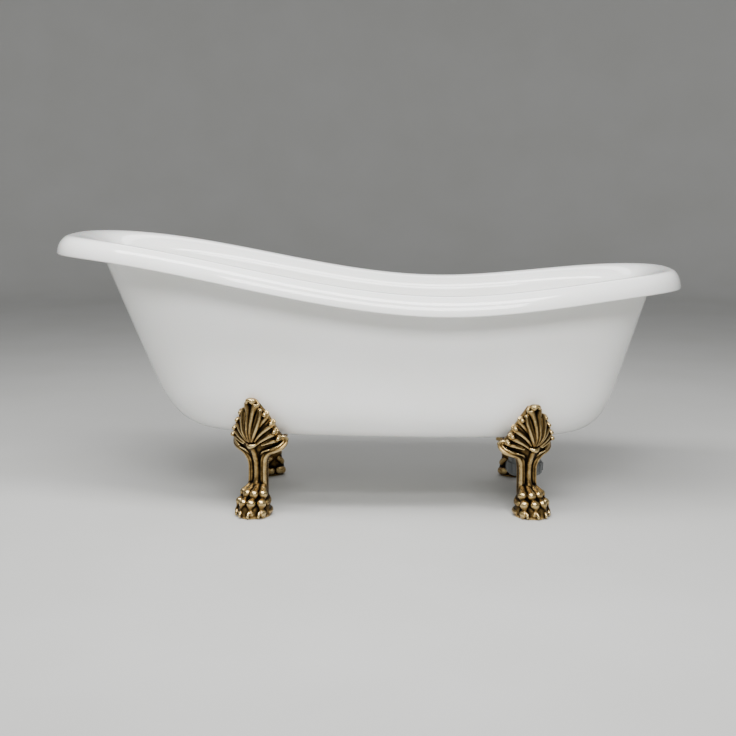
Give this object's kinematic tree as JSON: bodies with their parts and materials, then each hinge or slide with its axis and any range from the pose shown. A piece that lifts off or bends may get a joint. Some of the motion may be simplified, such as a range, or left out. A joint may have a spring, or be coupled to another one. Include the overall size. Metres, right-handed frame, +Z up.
{
  "type": "freestanding bathtub",
  "caption": "Freestanding double-skinned slipper bath with a raised head end, a wide rolled rim and cast lion-paw feet under leaf fans, with its waste, overflow and trap.",
  "frame": {"origin": "on the floor, at the middle of the bath's length and width", "axes": "+X along the bath towards the waste end (the raised head end is at -X), +Y towards the rear long side, +Z up"},
  "size_m": [1.7, 0.74, 0.737],
  "materials": {
    "acrylic": "gloss cast acrylic sheet, glass-fibre backed",
    "antique_casting": "sand-cast aluminium, brass plated, darkened and relieved on its high spots",
    "antique_brass": "antiqued brass, relieved and lacquered",
    "steel": "bright zinc plated",
    "brass": "turned, unplated",
    "rubber": "moulded",
    "nylon": "moulded nylon",
    "pipe_plastic": "moulded polypropylene",
    "hardwood": "sawn and planed, sealed",
    "plywood": "sealed with resin",
    "adhesive": "cured bonding sealant"
  },
  "bodies": {
    "bath": {"inner_basin": "acrylic", "outer_skin": "acrylic", "rim_bond_bead": "adhesive", "base_board": "plywood", "head_bearer": "hardwood", "tail_bearer": "hardwood", "foot_head_front": "antique_casting", "foot_pad_head_front": "rubber", "foot_bolt_head_front": "steel", "foot_washer_head_front": "steel", "insert_head_front": "brass", "foot_head_rear": "antique_casting", "foot_pad_head_rear": "rubber", "foot_bolt_head_rear": "steel", "foot_washer_head_rear": "steel", "insert_head_rear": "brass", "foot_tail_front": "antique_casting", "foot_pad_tail_front": "rubber", "foot_bolt_tail_front": "steel", "foot_washer_tail_front": "steel", "insert_tail_front": "brass", "foot_tail_rear": "antique_casting", "foot_pad_tail_rear": "rubber", "foot_bolt_tail_rear": "steel", "foot_washer_tail_rear": "steel", "insert_tail_rear": "brass", "drain_flange": "antique_brass", "drain_gasket": "rubber", "waste_body": "pipe_plastic", "rocker_pin": "steel", "trap_nut": "pipe_plastic", "trap_seal": "rubber", "trap_body": "pipe_plastic", "trap_cup": "pipe_plastic", "outlet_nut": "pipe_plastic", "overflow_body": "pipe_plastic", "overflow_seal": "rubber", "overflow_flange": "antique_brass", "overflow_pipe": "pipe_plastic", "lift_cable": "rubber"},
    "knob": {"overflow_knob": "antique_brass", "knob_spindle": "brass", "knob_screw": "steel"},
    "rocker": {"lift_rocker": "brass"},
    "plug": {"plug_cap": "antique_brass", "plug_stem": "brass", "plug_seal": "rubber"},
    "leveller_head_front": {"glide_head_front": "nylon", "glide_nut_head_front": "steel"},
    "leveller_head_rear": {"glide_head_rear": "nylon", "glide_nut_head_rear": "steel"},
    "leveller_tail_front": {"glide_tail_front": "nylon", "glide_nut_tail_front": "steel"},
    "leveller_tail_rear": {"glide_tail_rear": "nylon", "glide_nut_tail_rear": "steel"}
  },
  "joints": [
    {"name": "knob_turn", "type": "hinge", "parent": "bath", "child": "knob", "pos_m": [0.69131, 0, 0.485], "axis": [-0.897, 0, 0.4421], "range_deg": [0, 90]},
    {"name": "rocker_swing", "type": "hinge", "parent": "bath", "child": "rocker", "pos_m": [0.45831, 0, 0.1976], "axis": [0, 1, 0], "range_deg": [0, 26]},
    {"name": "plug_lift", "type": "slide", "parent": "bath", "child": "plug", "axis": [0.0147, 0, 0.9999], "range_m": [0, 0.011]},
    {"name": "leveller_drop_head_front", "type": "slide", "parent": "bath", "child": "leveller_head_front", "axis": [0, 0, -1], "range_m": [0, 0.01]},
    {"name": "leveller_drop_head_rear", "type": "slide", "parent": "bath", "child": "leveller_head_rear", "axis": [0, 0, -1], "range_m": [0, 0.01]},
    {"name": "leveller_drop_tail_front", "type": "slide", "parent": "bath", "child": "leveller_tail_front", "axis": [0, 0, -1], "range_m": [0, 0.01]},
    {"name": "leveller_drop_tail_rear", "type": "slide", "parent": "bath", "child": "leveller_tail_rear", "axis": [0, 0, -1], "range_m": [0, 0.01]}
  ],
  "couplings": [
    {"joint": "rocker_swing", "follows": "knob_turn", "ratio": 0.28889},
    {"joint": "plug_lift", "follows": "knob_turn", "m_per_rad": 0.0070027}
  ]
}
